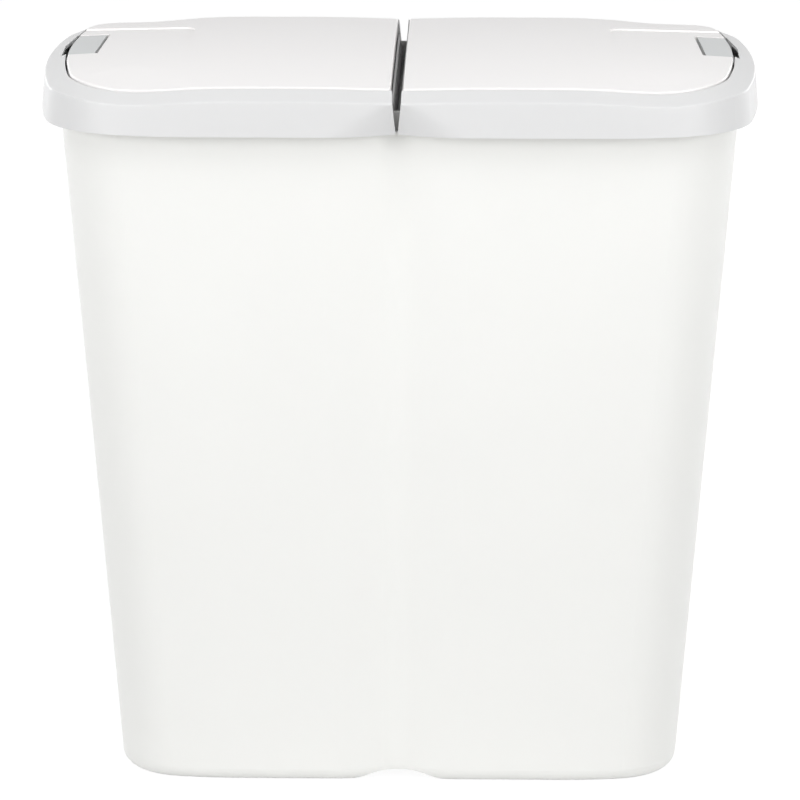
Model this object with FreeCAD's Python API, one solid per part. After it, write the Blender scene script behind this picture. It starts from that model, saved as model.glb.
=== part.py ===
import FreeCAD, Part
import math
import os

# Double recycling bin: one moulded double tub, and over each compartment a lid frame that lifts on
# two rear hinges, holding a flap that opens up on two pins at the gap between the lids and a catch
# that slides in the flap's outer end.
# Millimetres. Z is up, the floor is Z = 0, the front is -Y, and X = 0 is the gap between the lids.

V = FreeCAD.Vector
PARTS = "parts"
os.makedirs(PARTS, exist_ok=True)

# ---- lid outline, measured at the bottom edge of the frames' skirt ----
lid_width = 480.0
lid_depth = 280.0
lid_end_radius = 480.0
lid_corner_radius = 64.0
lid_shoulder_radius = 200.0
lid_shoulder_turn = 15.0
lid_gap_radius = 105.0
lid_gap_start = 48.0
lid_groove_radius = 14.0
rim_gap_start = 12.0
rim_gap_radius = 60.0

# ---- lid frame ----
skirt_bottom_z = 455.0
skirt_height = 23.0
skirt_flare = 2.0
strip_width = 13.5
strip_rise = 6.0
frame_wall = 2.2
ridge_round = 1.6
lip_thickness = 2.0
gap_half_at_bottom = 0.65
gap_half_at_ridge = 2.9
gap_half_at_top = 3.2
end_wall_inner_x = 3.8
end_wall_top_z = 473.5
rib_thickness = 2.0
belly_rib_xs = (40.0, 90.0, 140.0)
end_rib_ys = (-70.0, 75.0)
end_rib_extra = 8.0
notch_front_y = -10.0
notch_straight = 36.0
notch_length = 69.0
notch_depth = 3.2
notch_height = 8.0

# ---- body ----
foot_width = 382.0
foot_depth = 200.0
foot_end_radius = 600.0
foot_corner_radius = 45.0
foot_shoulder_radius = 250.0
foot_shoulder_turn = 10.0
foot_gap_radius = 90.0
foot_gap_start = 42.0
foot_groove_radius = 26.0
foot_round = 10.0
body_wall = 2.5
floor_thickness = 3.0
skirt_to_wall = 12.0
skirt_to_flange = 4.0
skirt_to_neck = 9.0
flange_thickness = 2.0
flange_top_z = 456.5
neck_height = 12.2
divider_top_z = 452.0
divider_top_thickness = 3.0
divider_foot_thickness = 5.0
arch_half_width = 38.0
arch_flat_half_width = 6.0
arch_rise = 7.0

# ---- flap ----
flap_gap = 1.5
flap_wall = 2.4
flap_rim = 2.0
flap_rim_bottom_z = 476.5
flap_inner_end_x = 4.2
flap_proud = 1.0
crown_rise = 4.0
crown_peak_x = 80.0
crown_fade_power = 2.6
crown_inner_drop = 3.0
crown_outer_drop = 3.7
crown_station_shares = (-0.03, 0.18, 0.38, 0.56, 0.72, 0.85, 0.95, 1.04)
crown_overlap = 8.0
pad_inner_x = 142.0
pad_rear_y = 72.0
pad_front_y = -20.0
pad_corner_radius = 10.0
pad_depth = 1.1
flap_edge_round = 1.2
pivot_x = 9.0
pivot_z = 478.5
pivot_pin_radius = 1.5
pivot_boss_radius = 3.0
pivot_from_opening = 5.0
frame_boss_length = 7.0
flap_lug_length = 7.0
lug_gap = 0.8
arm_half_width = 4.5
arm_thickness = 2.9
hinge_pocket_margin = 1.0
stop_width = 20.0
stop_thickness = 2.7
stop_reach = 5.5

# ---- catch ----
catch_front_y = -18.0
catch_rear_y = 53.0
catch_width_front = 18.0
catch_width_rear = 21.5
catch_travel = 2.0
catch_slot = 2.4
catch_side_gap = 0.4
catch_below_surface = 0.5
pocket_floor_z = 480.2
pocket_floor = 2.5
pocket_wall = 2.0
stem_length_x = 8.0
stem_length_y = 20.0
retainer_thickness = 2.4
retainer_margin = 3.5
retainer_to_rim = 2.0

# ---- rear hinges ----
hinge_xs = (62.0, 122.0)
hinge_pin_radius = 1.55
knuckle_radius = 3.2
hinge_axis_below_flange = 1.3
knuckle_inside_outline = 0.3
ear_length = 10.0
knuckle_length = 8.0
knuckle_gap = 0.4
knuckle_clearance = 0.6

# ---- clearances ----
running = 0.05
press = 0.01
seat = 0.3
flange_clearance = 0.9
neck_clearance = 0.8
lip_over_neck = 1.3
cut_margin = 1.0

# ---- sizes that follow from the ones above ----
ridge_z = skirt_bottom_z + skirt_height
opening_z = ridge_z + strip_rise
opening_inset = skirt_flare + strip_width
lip_inset = opening_inset - lip_thickness
neck_top_z = flange_top_z + neck_height
lip_bottom_z = neck_top_z + lip_over_neck
flap_inset = opening_inset + flap_gap
flap_outer_x = lid_width / 2 - flap_inset
flap_rim_z = opening_z + flap_proud
flap_top_z = flap_rim_z + crown_rise
pad_tilt = math.degrees(math.atan2(pad_depth, pad_rear_y - pad_front_y))
hinge_y = lid_depth / 2 - knuckle_radius - knuckle_inside_outline
hinge_z = flange_top_z - hinge_axis_below_flange
pivot_far_y = lid_depth / 2 - opening_inset - pivot_from_opening
pivot_near_y = pivot_far_y - frame_boss_length
knuckle_start = ear_length / 2 + knuckle_gap
hinge_half_length = knuckle_start + knuckle_length

LID = dict(a=lid_width / 2, b=lid_depth / 2, end=lid_end_radius, corner=lid_corner_radius,
           shoulder=lid_shoulder_radius, turn=lid_shoulder_turn, gap=lid_gap_radius,
           start=lid_gap_start, groove=lid_groove_radius)
RIM = dict(LID, gap=rim_gap_radius, start=rim_gap_start)
FOOT = dict(a=foot_width / 2, b=foot_depth / 2, end=foot_end_radius, corner=foot_corner_radius,
            shoulder=foot_shoulder_radius, turn=foot_shoulder_turn, gap=foot_gap_radius,
            start=foot_gap_start, groove=foot_groove_radius)


def inset(outline, distance):
    """The outline moved inward all round: convex arcs tighten, the groove's arc opens."""
    moved = dict(outline)
    for size in ("a", "b", "end", "corner", "shoulder", "gap"):
        moved[size] = outline[size] - distance
    moved["groove"] = outline["groove"] + distance
    return moved


def arc_points(centre, radius, from_angle, to_angle):
    """Start, middle and end of an arc, as plain (x, y) pairs; angles in radians."""
    angles = (from_angle, (from_angle + to_angle) / 2, to_angle)
    return [(centre[0] + radius * math.cos(t), centre[1] + radius * math.sin(t)) for t in angles]


def rear_chain(outline, cut_x=None):
    """Rear right run of an outline, from the end arc to the middle gap or groove.

    With cut_x the last arc stops on that X plane; without it the arc stops where it meets the groove.
    """
    a, b = outline["a"], outline["b"]
    end, corner, shoulder = outline["end"], outline["corner"], outline["shoulder"]
    to_shoulder = math.radians(90.0 - outline["turn"])
    to_corner = math.asin((b - shoulder + (shoulder - corner) * math.sin(to_shoulder)) / (end - corner))
    corner_centre = (a - end + (end - corner) * math.cos(to_corner), (end - corner) * math.sin(to_corner))
    shoulder_centre = (corner_centre[0] - (shoulder - corner) * math.cos(to_shoulder), b - shoulder)
    gap_centre = (outline["start"], b - outline["gap"])
    if cut_x is None:
        gap_turn = math.asin(outline["start"] / (outline["gap"] + outline["groove"]))
    else:
        gap_turn = math.asin((outline["start"] - cut_x) / outline["gap"])
    quarter = math.pi / 2
    return [
        arc_points(corner_centre, corner, to_corner, to_shoulder),
        arc_points(shoulder_centre, shoulder, to_shoulder, quarter),
        [(shoulder_centre[0], b), (outline["start"], b)],
        arc_points(gap_centre, outline["gap"], quarter, quarter + gap_turn),
    ]


def mirrored(chain, sx, sy):
    """A chain mirrored by signs and run backwards."""
    return [[(sx * x, sy * y) for x, y in reversed(points)] for points in reversed(chain)]


def edge(points, z):
    corners = [V(x, y, z) for x, y in points]
    if len(corners) == 2:
        return Part.LineSegment(*corners).toShape()
    return Part.Arc(*corners).toShape()


def half_wire(outline, z, cut_x):
    """Right-hand half of an outline, closed by a straight line on X = cut_x."""
    rear = rear_chain(outline, cut_x)
    front = mirrored(rear, 1, -1)
    end_arc = [front[-1][-1], (outline["a"], 0.0), rear[0][0]]
    closing = [rear[-1][-1], front[0][0]]
    return Part.Wire([edge(points, z) for points in front + [end_arc] + rear + [closing]])


def full_wire(outline, z):
    """Whole outline through both compartments, with its groove at front and rear."""
    rear = rear_chain(outline)
    front = mirrored(rear, 1, -1)
    near = rear[-1][-1]
    rear_groove = [near, (0.0, groove_y(outline)), (-near[0], near[1])]
    right = front + [[front[-1][-1], (outline["a"], 0.0), rear[0][0]]] + rear
    left = [[(-x, -y) for x, y in points] for points in right]
    front_groove = [(-x, -y) for x, y in rear_groove]
    return Part.Wire([edge(points, z) for points in right + [rear_groove] + left + [front_groove]])


def half_block(outline, bottom_z, top_z, cut_x):
    return Part.Face(half_wire(outline, bottom_z, cut_x)).extrude(V(0, 0, top_z - bottom_z))


def full_block(outline, bottom_z, top_z):
    return Part.Face(full_wire(outline, bottom_z)).extrude(V(0, 0, top_z - bottom_z))


def groove_y(outline):
    """How far the bottom of the groove lies from the middle of the bin."""
    centre_y = outline["b"] - outline["gap"] + math.sqrt(
        (outline["gap"] + outline["groove"]) ** 2 - outline["start"] ** 2)
    return centre_y - outline["groove"]


def box(x, y, z):
    """A box from three (low, high) pairs."""
    return Part.makeBox(x[1] - x[0], y[1] - y[0], z[1] - z[0], V(x[0], y[0], z[0]))


def rod(x, y, z, radius):
    """A round bar along X, from x[0] to x[1]."""
    return Part.makeCylinder(radius, x[1] - x[0], V(x[0], y, z), V(1, 0, 0))


def rod_y(y, radius):
    """A round bar along Y on the axis that the right-hand flap turns about."""
    return Part.makeCylinder(radius, y[1] - y[0], V(pivot_x, y[0], pivot_z), V(0, 1, 0))


def pin_runs():
    """Where the flap's two pins run along Y: (front, rear), each (low, high)."""
    rear = (pivot_near_y - lug_gap - flap_lug_length, pivot_far_y)
    return (-rear[1], -rear[0]), rear


def prism(points, bottom_z, top_z):
    corners = [V(x, y, bottom_z) for x, y in points]
    return Part.Face(Part.makePolygon(corners + corners[:1])).extrude(V(0, 0, top_z - bottom_z))


def other_side(shape):
    return shape.mirror(V(0, 0, 0), V(1, 0, 0))


# ---- body: a double tub with a flange under the lids and a neck inside them ----
def arch_block(lift):
    """The space under the arch between the two tubs, raised by lift."""
    half_run = (arch_half_width - arch_flat_half_width) / 2
    half_rise = arch_rise / 2
    radius = (half_run ** 2 + half_rise ** 2) / (2 * half_rise)
    sweep = math.asin(half_run / radius) / 2
    bend_x, bend_z = radius * math.sin(sweep), radius * (1 - math.cos(sweep))
    y = -foot_depth

    def at(x, z):
        return V(x, y, z + lift)

    flank = [at(-arch_half_width, 0), at(-arch_half_width + bend_x, bend_z),
             at(-arch_half_width + half_run, half_rise),
             at(-arch_flat_half_width - bend_x, arch_rise - bend_z), at(-arch_flat_half_width, arch_rise)]
    other = [V(-p.x, p.y, p.z) for p in flank]
    below = -foot_round
    corners = [V(arch_half_width, y, below), V(-arch_half_width, y, below)]
    section = Part.Wire([
        Part.Arc(*flank[0:3]).toShape(),
        Part.Arc(*flank[2:5]).toShape(),
        Part.LineSegment(flank[4], other[4]).toShape(),
        Part.Arc(other[4], other[3], other[2]).toShape(),
        Part.Arc(other[2], other[1], other[0]).toShape(),
        Part.LineSegment(other[0], corners[0]).toShape(),
        Part.LineSegment(corners[0], corners[1]).toShape(),
        Part.LineSegment(corners[1], flank[0]).toShape(),
    ])
    return Part.Face(section).extrude(V(0, 2 * foot_depth, 0))


def make_body():
    wall_top = inset(LID, skirt_to_wall)
    shell = Part.makeLoft([full_wire(FOOT, 0.0), full_wire(wall_top, flange_top_z)], True, True)
    foot_edges = [e for e in shell.Edges if e.BoundBox.ZMax < 0.01]
    shell = shell.makeFillet(foot_round, foot_edges)
    flange_bottom_z = flange_top_z - flange_thickness
    flange = full_block(inset(LID, skirt_to_flange), flange_bottom_z, flange_top_z)
    neck = full_block(inset(LID, skirt_to_neck), flange_bottom_z, neck_top_z)
    body = shell.fuse([flange, neck]).cut(arch_block(0.0))

    above = neck_top_z + cut_margin
    space = full_block(inset(LID, skirt_to_wall + body_wall), divider_top_z, flange_top_z)
    space = space.fuse(full_block(inset(LID, skirt_to_neck + body_wall), flange_top_z, above))
    cavity = Part.makeLoft([
        half_wire(inset(FOOT, body_wall), floor_thickness, divider_foot_thickness / 2),
        half_wire(inset(wall_top, body_wall), flange_top_z, divider_top_thickness / 2)], True, True)
    cavity = cavity.cut(arch_block(floor_thickness))
    body = body.cut([cavity, other_side(cavity), space])

    for hinge_x in (s * x for s in (-1, 1) for x in hinge_xs):
        ear_x = (hinge_x - ear_length / 2, hinge_x + ear_length / 2)
        ear = rod(ear_x, hinge_y, hinge_z, knuckle_radius)
        web = box(ear_x, (lid_depth / 2 - skirt_to_wall - body_wall / 2, hinge_y),
                  (hinge_z - knuckle_radius, hinge_z))
        room = knuckle_radius + knuckle_clearance
        gaps = [rod((hinge_x - hinge_half_length - knuckle_gap, ear_x[0]), hinge_y, hinge_z, room),
                rod((ear_x[1], hinge_x + hinge_half_length + knuckle_gap), hinge_y, hinge_z, room)]
        body = body.cut(gaps).fuse([ear, web])
        body = body.cut(rod((hinge_x - hinge_half_length, hinge_x + hinge_half_length),
                            hinge_y, hinge_z, hinge_pin_radius + press))
    return body.removeSplitter()


# ---- lid frame, right-hand one ----
def frame_outer():
    skirt = Part.makeLoft([
        half_wire(LID, skirt_bottom_z, gap_half_at_bottom),
        half_wire(inset(RIM, skirt_flare), ridge_z, gap_half_at_ridge)], True, True)
    strip = Part.makeLoft([
        half_wire(inset(RIM, skirt_flare), ridge_z, gap_half_at_ridge),
        half_wire(inset(RIM, opening_inset), opening_z, gap_half_at_top)], True, True)
    outer = skirt.fuse(strip)
    ridge = [e for e in outer.Edges if abs(e.BoundBox.ZMin - ridge_z) < 0.01
             and abs(e.BoundBox.ZMax - ridge_z) < 0.01 and e.BoundBox.XMax > gap_half_at_top]
    return outer.makeFillet(ridge_round, ridge)


def strip_z(at_inset):
    """Height of the frame's sloping top strip at an inset."""
    return ridge_z + strip_rise * (at_inset - skirt_flare) / strip_width


def lifting_room():
    """What the frame's end wall leaves free so that it clears the neck as the frame lifts."""
    neck_inner_y = groove_y(inset(LID, skirt_to_neck + body_wall))
    reach = math.hypot(hinge_y - neck_inner_y, neck_top_z - hinge_z) + neck_clearance
    around_hinge = rod((0.0, end_wall_inner_x + cut_margin), hinge_y, hinge_z, reach)
    inside_neck = box((0.0, end_wall_inner_x + cut_margin), (0.0, neck_inner_y),
                      (skirt_bottom_z - cut_margin, neck_top_z + seat))
    return around_hinge.common(inside_neck)


def make_frame():
    outer = frame_outer()
    under_ridge = skirt_flare + frame_wall
    hollow = Part.makeLoft([
        half_wire(inset(LID, frame_wall), skirt_bottom_z - cut_margin, end_wall_inner_x),
        half_wire(inset(RIM, under_ridge), strip_z(under_ridge) - frame_wall, end_wall_inner_x)],
        True, True)
    hollow = hollow.fuse(Part.makeLoft([
        half_wire(inset(RIM, under_ridge), strip_z(under_ridge) - frame_wall, end_wall_inner_x),
        half_wire(inset(RIM, lip_inset), strip_z(lip_inset) - frame_wall, end_wall_inner_x)],
        True, True))
    lip = half_block(inset(RIM, lip_inset), lip_bottom_z, opening_z, gap_half_at_top)
    ribs = []
    low = neck_top_z + seat
    half_rib = rib_thickness / 2
    for x in belly_rib_xs:
        for side in (-1, 1):
            far, near = side * lid_depth / 2, side * (lid_depth / 2 - opening_inset)
            ribs.append(box((x - half_rib, x + half_rib), sorted((far, near)), (low, opening_z)))
    for y in end_rib_ys:
        ribs.append(box((lid_width / 2 - opening_inset - end_rib_extra, lid_width / 2),
                        (y - half_rib, y + half_rib), (low, opening_z)))
    walls = outer.cut(hollow).fuse([outer.common(piece) for piece in [lip] + ribs])
    below, above = skirt_bottom_z - cut_margin, opening_z + cut_margin
    opening = half_block(inset(RIM, opening_inset), below, above, end_wall_inner_x)
    over_end_wall = half_block(inset(RIM, opening_inset), end_wall_top_z, above, -cut_margin)
    over_flange = full_block(inset(LID, skirt_to_flange - flange_clearance), below, flange_top_z + seat)
    neck_room = full_block(inset(LID, skirt_to_neck - neck_clearance), below, neck_top_z + seat).cut(
        full_block(inset(LID, skirt_to_neck + body_wall + neck_clearance), below, above))
    frame = walls.cut([opening, over_end_wall, over_flange, neck_room, lifting_room()])

    opening_x = lid_width / 2 - opening_inset
    notch_x = opening_x + notch_depth
    frame = frame.cut(prism([(opening_x - cut_margin, notch_front_y), (notch_x, notch_front_y),
                             (notch_x, notch_front_y + notch_straight),
                             (opening_x - notch_depth, notch_front_y + notch_length),
                             (opening_x - notch_depth, notch_front_y + notch_straight)],
                            opening_z - notch_height, above))
    stop_top = flap_rim_bottom_z - seat
    opening_y = lid_depth / 2 - opening_inset
    in_lip_y = opening_y + lip_thickness / 2
    additions = []
    for side in (-1, 1):
        arm_y = sorted((side * in_lip_y, side * pivot_near_y))
        boss_y = sorted((side * pivot_far_y, side * pivot_near_y))
        additions.append(box((pivot_x - arm_half_width, pivot_x + arm_half_width), arm_y,
                             (lip_bottom_z, lip_bottom_z + arm_thickness)))
        additions.append(box((pivot_x - pivot_boss_radius, pivot_x + pivot_boss_radius), boss_y,
                             (lip_bottom_z, pivot_z)))
        additions.append(rod_y(boss_y, pivot_boss_radius))
        for x in hinge_xs:
            additions.append(box((x - stop_width / 2, x + stop_width / 2),
                                 sorted((side * (opening_y - stop_reach), side * in_lip_y)),
                                 (stop_top - stop_thickness, stop_top)))
    for hinge_x in hinge_xs:
        for start in (-hinge_half_length, knuckle_start):
            additions.append(rod((hinge_x + start, hinge_x + start + knuckle_length),
                                 hinge_y, hinge_z, knuckle_radius))
    frame = frame.fuse(additions)
    room = knuckle_radius + knuckle_clearance
    for hinge_x in hinge_xs:
        reach = ear_length / 2 + knuckle_gap
        frame = frame.cut(rod((hinge_x - reach, hinge_x + reach), hinge_y, hinge_z, room))
        bore_half_length = hinge_half_length + cut_margin
        frame = frame.cut(rod((hinge_x - bore_half_length, hinge_x + bore_half_length),
                              hinge_y, hinge_z, hinge_pin_radius + running))
    frame = frame.cut([rod_y(y, pivot_pin_radius + press) for y in pin_runs()])
    return frame.removeSplitter()


# ---- flap, right-hand one ----
def crown_height(x):
    """Height of the flap's crest above its own rim, along X."""
    if x < crown_peak_x:
        return crown_rise - crown_inner_drop * ((crown_peak_x - x) / crown_peak_x) ** 2
    fade = (x - crown_peak_x) / (flap_outer_x - crown_peak_x)
    return crown_rise - crown_outer_drop * fade ** crown_fade_power


def crown_block(lower):
    """Everything under the flap's crowned top, which is an arc front to back at each X."""
    half_depth = lid_depth / 2 - flap_inset
    reach = half_depth + crown_overlap
    base_z = pivot_z - pivot_boss_radius - cut_margin
    sections = []
    for x in (share * flap_outer_x for share in crown_station_shares):
        rise = crown_height(x)
        edge_z = flap_rim_z - rise * ((reach / half_depth) ** 2 - 1.0) - lower
        left, right = V(x, -reach, edge_z), V(x, reach, edge_z)
        low_left, low_right = V(x, -reach, base_z), V(x, reach, base_z)
        sections.append(Part.Wire([
            Part.Arc(left, V(x, 0, flap_rim_z + rise - lower), right).toShape(),
            Part.LineSegment(right, low_right).toShape(),
            Part.LineSegment(low_right, low_left).toShape(),
            Part.LineSegment(low_left, left).toShape(),
        ]))
    return Part.makeLoft(sections, True, False)


def pad_crown(lower):
    """The crown block tilted down to the rear, as the press pad's top and the catch's top are."""
    return crown_block(lower).rotated(V(0, pad_front_y, flap_rim_z), V(1, 0, 0), -pad_tilt)


def pad_space(lower, grow):
    """What the press pad takes off the crown block of the same lowering, grown all round by grow."""
    top = flap_top_z + cut_margin
    region = box((pad_inner_x - grow, flap_outer_x + cut_margin), (pad_front_y - grow, pad_rear_y + grow),
                 (flap_rim_bottom_z, top))
    corner = [e for e in region.Edges if abs(e.BoundBox.XMax - pad_inner_x + grow) < 0.01
              and abs(e.BoundBox.YMin - pad_rear_y - grow) < 0.01]
    return region.makeFillet(pad_corner_radius, corner).cut(pad_crown(lower))


def catch_outline(front_gap, slot, outer_x):
    """Plan of the catch or its pocket: a slanted inner side, the outer side on X = outer_x."""
    front = catch_front_y - front_gap
    rear = catch_rear_y + front_gap
    front_x = flap_outer_x - catch_width_front - slot
    rear_x = flap_outer_x - catch_width_rear - slot
    return [(front_x, front), (outer_x, front), (outer_x, rear), (rear_x, rear)]


def pivot_lug(side, top):
    """The flap's lug on the pin, with its web up to the flap."""
    y = sorted((side * (pivot_near_y - lug_gap), side * (pivot_near_y - lug_gap - flap_lug_length)))
    web = box((pivot_x - pivot_boss_radius, pivot_x + pivot_boss_radius), y, (pivot_z, top))
    return rod_y(y, pivot_boss_radius).fuse(web)


def hinge_pocket(side):
    """Room in the flap's inner rim for the frame's boss."""
    room = pivot_boss_radius + hinge_pocket_margin
    y = sorted((side * (pivot_far_y + hinge_pocket_margin), side * (pivot_near_y - lug_gap)))
    return box((0.0, pivot_x + room), y, (flap_rim_bottom_z - cut_margin, pivot_z + room))


def make_flap():
    top = flap_top_z + cut_margin
    crown = crown_block(0.0)
    under = crown_block(flap_wall).cut(pad_space(flap_wall, flap_wall))
    plan = half_block(inset(RIM, flap_inset), flap_rim_bottom_z, top, flap_inner_end_x)
    inside = half_block(inset(RIM, flap_inset + flap_rim), flap_rim_bottom_z - cut_margin, top,
                        flap_inner_end_x + flap_rim)
    solid = plan.common(crown)
    rim = [e for e in solid.Edges if e.BoundBox.ZMin > flap_rim_bottom_z + cut_margin]
    solid = solid.makeFillet(flap_edge_round, rim)
    shell = solid.cut(inside.common(under))

    edges_x = (flap_outer_x - catch_width_rear - catch_slot - pocket_wall, flap_outer_x)
    edges_y = (catch_front_y - catch_side_gap - pocket_wall, catch_rear_y + catch_side_gap + pocket_wall)
    block = box(edges_x, edges_y, (pocket_floor_z - pocket_floor, top)).common(solid)
    lugs = [pivot_lug(side, top).common(crown) for side in (-1, 1)]
    pockets = [hinge_pocket(side) for side in (-1, 1)]
    flap = shell.cut(pockets).fuse([block] + lugs).cut(pad_space(0.0, 0.0))

    pocket = prism(catch_outline(catch_side_gap, catch_slot, flap_outer_x + cut_margin), pocket_floor_z, top)
    stem_x, stem_y = stem_place()
    slot = box((stem_x[0] - catch_travel - seat, stem_x[1] + seat),
               (stem_y[0] - seat, stem_y[1] + seat), (pocket_floor_z - pocket_floor - cut_margin, top))
    holes = [rod_y((y[0] - cut_margin, y[1] + cut_margin), pivot_pin_radius + running)
             for y in pin_runs()]
    return flap.cut([pocket, slot] + holes).removeSplitter()


# ---- catch and its retainer ----
def stem_place():
    middle_y = (catch_front_y + catch_rear_y) / 2
    stem_x1 = flap_outer_x - flap_rim - retainer_margin
    return (stem_x1 - stem_length_x, stem_x1), (middle_y - stem_length_y / 2, middle_y + stem_length_y / 2)


def make_catch():
    top = flap_top_z + cut_margin
    bottom = pocket_floor_z + seat
    plate = prism(catch_outline(0.0, 0.0, flap_outer_x), bottom, top)
    plate = plate.common(half_block(inset(RIM, flap_inset), bottom, top, flap_inner_end_x))
    plate = plate.common(pad_crown(catch_below_surface))
    stem_x, stem_y = stem_place()
    stem = box(stem_x, stem_y, (pocket_floor_z - pocket_floor - retainer_thickness - seat,
                                bottom + cut_margin))
    return plate.fuse(stem).removeSplitter()


def make_retainer():
    stem_x, stem_y = stem_place()
    z_top = pocket_floor_z - pocket_floor - seat
    plate = box((stem_x[0] - retainer_margin, flap_outer_x - flap_rim - retainer_to_rim),
                (stem_y[0] - retainer_margin, stem_y[1] + retainer_margin),
                (z_top - retainer_thickness, z_top))
    return plate.cut(box((stem_x[0] - press, stem_x[1] + press), (stem_y[0] - press, stem_y[1] + press),
                         (z_top - retainer_thickness - cut_margin, z_top + cut_margin)))


# ---- pins ----
def flap_pins():
    return {place: rod_y(y, pivot_pin_radius) for place, y in zip(("front", "rear"), pin_runs())}


def hinge_pin(hinge_x):
    return rod((hinge_x - hinge_half_length, hinge_x + hinge_half_length), hinge_y, hinge_z,
               hinge_pin_radius)


pieces = {"body": make_body()}
right_side = {
    "lid_frame": make_frame(),
    "flap": make_flap(),
    "catch": make_catch(),
    "catch_retainer": make_retainer(),
}
for name, shape in right_side.items():
    pieces[name + "_right"] = shape
    pieces[name + "_left"] = other_side(shape)
for place, shape in flap_pins().items():
    pieces["flap_pin_right_" + place] = shape
    pieces["flap_pin_left_" + place] = other_side(shape)
for place, hinge_x in zip(("inner", "outer"), hinge_xs):
    pieces["hinge_pin_right_" + place] = hinge_pin(hinge_x)
    pieces["hinge_pin_left_" + place] = other_side(hinge_pin(hinge_x))

for name, shape in sorted(pieces.items()):
    shape.exportStep(os.path.join(PARTS, name + ".step"))
    print(name, "solids", len(shape.Solids), "valid", shape.isValid(), "volume", round(shape.Volume))
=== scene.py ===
import math
import bpy
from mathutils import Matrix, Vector


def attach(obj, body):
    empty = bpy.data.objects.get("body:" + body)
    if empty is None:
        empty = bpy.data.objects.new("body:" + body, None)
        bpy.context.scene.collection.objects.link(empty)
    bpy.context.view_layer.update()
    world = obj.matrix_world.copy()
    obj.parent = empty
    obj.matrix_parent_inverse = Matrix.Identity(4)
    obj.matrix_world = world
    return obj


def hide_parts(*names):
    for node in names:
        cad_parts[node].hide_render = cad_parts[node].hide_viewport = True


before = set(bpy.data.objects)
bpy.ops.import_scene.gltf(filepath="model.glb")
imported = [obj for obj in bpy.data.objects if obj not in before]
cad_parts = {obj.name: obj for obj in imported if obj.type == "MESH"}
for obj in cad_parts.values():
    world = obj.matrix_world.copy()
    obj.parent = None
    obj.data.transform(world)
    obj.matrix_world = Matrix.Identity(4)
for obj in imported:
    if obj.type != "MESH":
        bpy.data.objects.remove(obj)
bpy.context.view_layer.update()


# ---- Camera: the photograph looks from the front, 15 degrees down and about one degree from the
# right, through a long lens some three and a half metres away.
def stand(name, data, target, azimuth, elevation, distance):
    """Places a camera or a lamp so that it looks at the target; azimuth 0 is the front."""
    a, e = math.radians(azimuth), math.radians(elevation)
    back = Vector((math.sin(a) * math.cos(e), -math.cos(a) * math.cos(e), math.sin(e)))
    item = bpy.data.objects.new(name, data)
    bpy.context.scene.collection.objects.link(item)
    item.location = target + back * distance
    item.rotation_euler = (-back).to_track_quat("-Z", "Y").to_euler()
    return item


camera_data = bpy.data.cameras.new("camera")
camera_data.lens = 229.9
camera_data.sensor_width = 36.0
bpy.context.scene.camera = stand("camera", camera_data, Vector((-0.0003, 0.0, 0.2419)),
                                 azimuth=1.13, elevation=15.0, distance=3.5)
bpy.context.scene.view_settings.view_transform = "Standard"


# ---- Studio: a pale floor that keeps the bin's shadow, a white surround that only the camera and
# reflections see, and four softboxes a side: in front, near above the lids, for the rounded edges,
# and low behind. None hangs in the plane of the gap between the lids, to keep the gap dark.
def srgb(code):
    """Linear colour of an sRGB hex value such as "f2f2f0"."""
    def linear(c):
        return c / 12.92 if c <= 0.04045 else ((c + 0.055) / 1.055) ** 2.4
    return (*[linear(int(code[i:i + 2], 16) / 255) for i in (0, 2, 4)], 1.0)


def node(tree, kind, links=None, **settings):
    """Adds a node, sets its properties or inputs by name, and links its inputs."""
    new = tree.nodes.new(kind)
    for name, value in settings.items():
        if name in new.bl_rna.properties:
            setattr(new, name, value)
        else:
            new.inputs[name.replace("_", " ")].default_value = value
    for name, source in (links or {}).items():
        tree.links.new(source, new.inputs[name])
    return new


def seen_by_camera(tree):
    """1 for rays from the camera, a reflection or through glass, else 0."""
    path = node(tree, "ShaderNodeLightPath")
    straight = node(tree, "ShaderNodeMath", {0: path.outputs["Is Camera Ray"],
                                             1: path.outputs["Is Glossy Ray"]}, operation="ADD")
    through = node(tree, "ShaderNodeMath", {0: straight.outputs[0],
                                            1: path.outputs["Is Transmission Ray"]},
                   operation="ADD", use_clamp=True)
    return through.outputs[0]


world = bpy.data.worlds.new("studio")
bpy.context.scene.world = world
world.use_nodes = True
tree = world.node_tree
tree.nodes.clear()
fill = node(tree, "ShaderNodeBackground", Color=srgb("f6f7f9"), Strength=0.28)
white = node(tree, "ShaderNodeBackground", Color=srgb("ffffff"), Strength=1.0)
surround = node(tree, "ShaderNodeMixShader", {0: seen_by_camera(tree), 1: fill.outputs[0],
                                              2: white.outputs[0]})
node(tree, "ShaderNodeOutputWorld", {"Surface": surround.outputs[0]})

LAMP_TARGET = Vector((0.0, 0.0, 0.35))


def softbox(name, azimuth, elevation, distance, size, watts):
    """A round area lamp aimed at the upper part of the bin."""
    data = bpy.data.lights.new(name, "AREA")
    data.shape = "DISK"
    data.size = size
    data.energy = watts
    stand(name, data, LAMP_TARGET, azimuth, elevation, distance)


for side, sign in (("left", -1.0), ("right", 1.0)):
    softbox(side + "_front_softbox", azimuth=sign * 46.0, elevation=17.0, distance=2.6,
            size=1.1, watts=21.8)
    softbox(side + "_top_softbox", azimuth=sign * 45.0, elevation=50.0, distance=0.95,
            size=0.6, watts=2.3)
    softbox(side + "_edge_softbox", azimuth=sign * 70.0, elevation=15.0, distance=2.6,
            size=1.2, watts=2.0)
    softbox(side + "_rear_softbox", azimuth=sign * 142.0, elevation=8.0, distance=3.0,
            size=1.4, watts=19.0)


def empty_material(name):
    """A new material with no nodes in it."""
    material = bpy.data.materials.new(name)
    material.use_nodes = True
    material.node_tree.nodes.clear()
    return material


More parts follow.
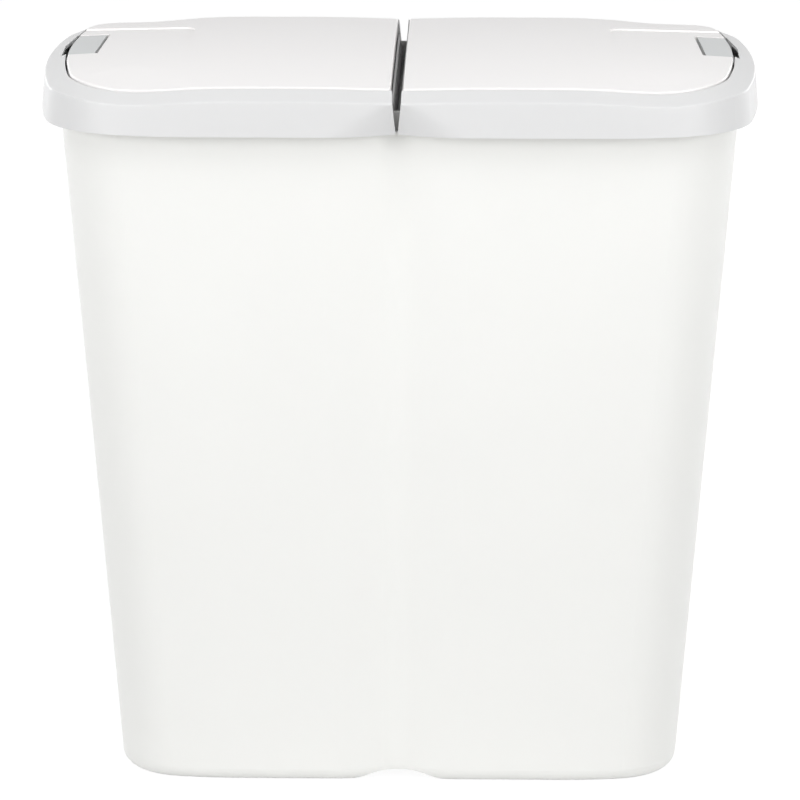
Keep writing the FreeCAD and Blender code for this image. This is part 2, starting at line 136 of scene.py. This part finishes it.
FLOOR_SIZE, FLOOR_Z = 14.0, -0.0002
bpy.ops.object.select_all(action="DESELECT")
bpy.ops.mesh.primitive_plane_add(size=FLOOR_SIZE, location=(0.0, 0.0, FLOOR_Z))
floor = bpy.context.object
floor.name = "floor"
pale_floor = empty_material("pale_paper_floor")
tree = pale_floor.node_tree
paper = node(tree, "ShaderNodeBsdfDiffuse", Color=srgb("e8e8e8"))
shade = node(tree, "ShaderNodeBsdfDiffuse", Color=srgb("6e6e6e"))
glow = node(tree, "ShaderNodeEmission", Color=srgb("ffffff"), Strength=0.93)
shown = node(tree, "ShaderNodeAddShader", {0: shade.outputs[0], 1: glow.outputs[0]})
seen = node(tree, "ShaderNodeMixShader", {0: seen_by_camera(tree), 1: paper.outputs[0],
                                          2: shown.outputs[0]})
node(tree, "ShaderNodeOutputMaterial", {"Surface": seen.outputs[0]})
floor.data.materials.append(pale_floor)


# ---- Body: one double tub, injection moulded in white polypropylene in a polished mould that was
# then lightly spark-eroded, so it has a fine grain, faint flow clouds and a soft satin gloss. The
# real grain is finer than the render can show, so it is drawn 0.6 to 0.7 mm wide.
MM_PER_METRE = 1000.0
GRAIN_DETAIL, CLOUD_DETAIL = 3.0, 2.0
UNEVEN_LOW, UNEVEN_HIGH = 0.6, 1.4    # what grain and clouds add up to
GLOSS_SPREAD = 0.06                   # of the roughness, either way
COLOUR_A, COLOUR_B, COLOUR_OUT = 6, 7, 2    # the Mix node's colour sockets


def moulded_plastic(name, colour, roughness, grain_mm, grain_depth, cloud_mm, cloud_depth):
    """Moulded polypropylene: an eroded grain, and slow flow clouds in tint and gloss."""
    material = empty_material(name)
    tree = material.node_tree
    place = node(tree, "ShaderNodeTexCoord").outputs["Object"]
    grain = node(tree, "ShaderNodeTexNoise", {"Vector": place},
                 Scale=MM_PER_METRE / grain_mm, Detail=GRAIN_DETAIL)
    cloud = node(tree, "ShaderNodeTexNoise", {"Vector": place},
                 Scale=MM_PER_METRE / cloud_mm, Detail=CLOUD_DETAIL)
    tint = node(tree, "ShaderNodeMix", {"Factor": cloud.outputs["Fac"]}, data_type="RGBA")
    darker = [c * (1.0 - cloud_depth) for c in srgb(colour)[:3]] + [1.0]
    tint.inputs[COLOUR_A].default_value = darker
    tint.inputs[COLOUR_B].default_value = srgb(colour)
    uneven = node(tree, "ShaderNodeMath", {0: grain.outputs["Fac"], 1: cloud.outputs["Fac"]},
                  operation="ADD")
    gloss = node(tree, "ShaderNodeMapRange", {"Value": uneven.outputs[0]},
                 From_Min=UNEVEN_LOW, From_Max=UNEVEN_HIGH,
                 To_Min=roughness - GLOSS_SPREAD, To_Max=roughness + GLOSS_SPREAD)
    bump = node(tree, "ShaderNodeBump", {"Height": grain.outputs["Fac"]},
                Strength=0.4, Distance=grain_depth)
    skin = node(tree, "ShaderNodeBsdfPrincipled", {"Base Color": tint.outputs[COLOUR_OUT],
                                                   "Roughness": gloss.outputs["Result"],
                                                   "Normal": bump.outputs["Normal"]}, IOR=1.49)
    node(tree, "ShaderNodeOutputMaterial", {"Surface": skin.outputs[0]})
    return material


def dress(piece, material):
    """Gives a piece one material in place of those it has."""
    piece.data.materials.clear()
    piece.data.materials.append(material)


white_polypropylene = moulded_plastic(
    "white_polypropylene", "f3f3f0", roughness=0.44,
    grain_mm=0.7, grain_depth=0.00002, cloud_mm=90.0, cloud_depth=0.015)
dress(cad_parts["body"], white_polypropylene)


# ---- Lid frames: a light grey rim over each tub, injection moulded in polypropylene. The lid isn't
# flat: its rim dips a few millimetres at each corner and one at the gap, so each frame is worked
# over from its solid.
CORNER_X, CORNER_RUN, CORNER_DIP = 0.178, 0.036, 0.0034    # middle, half width and depth of a dip
GAP_RUN, GAP_DIP = 0.030, 0.0010
SIDE_START_Y, SIDE_FULL_Y = 0.060, 0.115    # the dips fade in towards front and rear
SKIRT_BOTTOM_Z, RIDGE_Z = 0.455, 0.478      # and from the skirt up
SLICE = 0.010
MERGE_WITHIN, CUT_WITHIN = 0.00001, 0.0000001
SHARP_ANGLE = math.radians(28.0)
BIG_FACE_WEIGHT = 90


def smooth_step(value, low, high):
    """0 up to low, 1 from high on, and a smooth rise between."""
    t = min(max((value - low) / (high - low), 0.0), 1.0)
    return t * t * (3.0 - 2.0 * t)


def lid_dip(x, y, z):
    """How far the moulded lid lies under the flat one at a place."""
    side = smooth_step(abs(y), SIDE_START_Y, SIDE_FULL_Y)
    corner = CORNER_DIP * math.exp(-((abs(x) - CORNER_X) / CORNER_RUN) ** 2)
    gap = GAP_DIP * math.exp(-(x / GAP_RUN) ** 2)
    return (corner + gap) * side * smooth_step(z, SKIRT_BOTTOM_Z, RIDGE_Z)


def worked_over(node_name, name):
    """A new piece from a node's solid: merged, sliced, its rim dipped, smooth but for edges."""
    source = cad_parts[node_name]
    piece = bpy.data.objects.new(name, source.data.copy())
    bpy.context.scene.collection.objects.link(piece)
    bpy.ops.object.select_all(action="DESELECT")
    piece.select_set(True)
    bpy.context.view_layer.objects.active = piece
    bpy.ops.mesh.customdata_custom_splitnormals_clear()
    bpy.ops.object.mode_set(mode="EDIT")
    bpy.ops.mesh.select_all(action="SELECT")
    bpy.ops.mesh.remove_doubles(threshold=MERGE_WITHIN)
    bpy.ops.mesh.dissolve_degenerate(threshold=MERGE_WITHIN)
    low_x = min(corner[0] for corner in piece.bound_box)
    high_x = max(corner[0] for corner in piece.bound_box)
    slices = int((high_x - low_x) / SLICE)
    for i in range(1, slices + 1):
        bpy.ops.mesh.select_all(action="SELECT")
        bpy.ops.mesh.bisect(plane_co=(low_x + i * SLICE, 0.0, 0.0), plane_no=(1.0, 0.0, 0.0),
                            threshold=CUT_WITHIN)
    bpy.ops.object.mode_set(mode="OBJECT")
    for vertex in piece.data.vertices:
        vertex.co.z -= lid_dip(*vertex.co)
    bpy.ops.object.shade_smooth_by_angle(angle=SHARP_ANGLE)
    even = piece.modifiers.new("even_normals", "WEIGHTED_NORMAL")
    even.keep_sharp = True
    even.weight = BIG_FACE_WEIGHT
    bpy.ops.object.modifier_apply(modifier=even.name)
    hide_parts(node_name)
    return piece


grey_polypropylene = moulded_plastic(
    "light_grey_polypropylene", "d8d8d8", roughness=0.42,
    grain_mm=0.7, grain_depth=0.00002, cloud_mm=70.0, cloud_depth=0.02)
for side in ("left", "right"):
    rim = worked_over("lid_frame_" + side, "lid_rim_" + side)
    dress(rim, grey_polypropylene)
    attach(rim, "frame_" + side)


# ---- Flaps: a white moulded panel in each frame, gently crowned, with a pressed thumb pad at its
# outer end; the same polypropylene as the tub, from a finer eroded mould.
flap_polypropylene = moulded_plastic(
    "white_flap_polypropylene", "f2f0ef", roughness=0.40,
    grain_mm=0.6, grain_depth=0.00002, cloud_mm=80.0, cloud_depth=0.015)
for side in ("left", "right"):
    panel = worked_over("flap_" + side, "flap_panel_" + side)
    dress(panel, flap_polypropylene)
    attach(panel, "flap_" + side)


# ---- Catches: a grey moulded polypropylene slide in a pocket at each flap's outer end, with the
# plate that is pressed on its stem under the flap.
catch_polypropylene = moulded_plastic(
    "grey_polypropylene", "cbcdcd", roughness=0.38,
    grain_mm=0.6, grain_depth=0.00002, cloud_mm=40.0, cloud_depth=0.03)
for side in ("left", "right"):
    dress(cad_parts["catch_" + side], catch_polypropylene)
    dress(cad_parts["catch_retainer_" + side], catch_polypropylene)


# ---- Pins: short lengths of drawn steel wire, pressed into their bosses and ears. Drawing leaves
# the wire bright and a little uneven, shown here as a 0.4 mm grain, coarser than the real one.
WIRE_GRAIN_MM = 0.4
steel = empty_material("drawn_steel")
tree = steel.node_tree
place = node(tree, "ShaderNodeTexCoord").outputs["Object"]
wire_grain = node(tree, "ShaderNodeTexNoise", {"Vector": place},
                  Scale=MM_PER_METRE / WIRE_GRAIN_MM, Detail=2.0)
wire_gloss = node(tree, "ShaderNodeMapRange", {"Value": wire_grain.outputs["Fac"]},
                  To_Min=0.24, To_Max=0.40)
wire_bump = node(tree, "ShaderNodeBump", {"Height": wire_grain.outputs["Fac"]},
                 Strength=0.3, Distance=0.00001)
metal = node(tree, "ShaderNodeBsdfPrincipled", {"Roughness": wire_gloss.outputs["Result"],
                                                "Normal": wire_bump.outputs["Normal"]},
             Base_Color=srgb("c6c6c8"), Metallic=1.0)
node(tree, "ShaderNodeOutputMaterial", {"Surface": metal.outputs[0]})
for side in ("left", "right"):
    for end in ("front", "rear"):
        dress(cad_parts[f"flap_pin_{side}_{end}"], steel)
    for end in ("inner", "outer"):
        dress(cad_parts[f"hinge_pin_{side}_{end}"], steel)
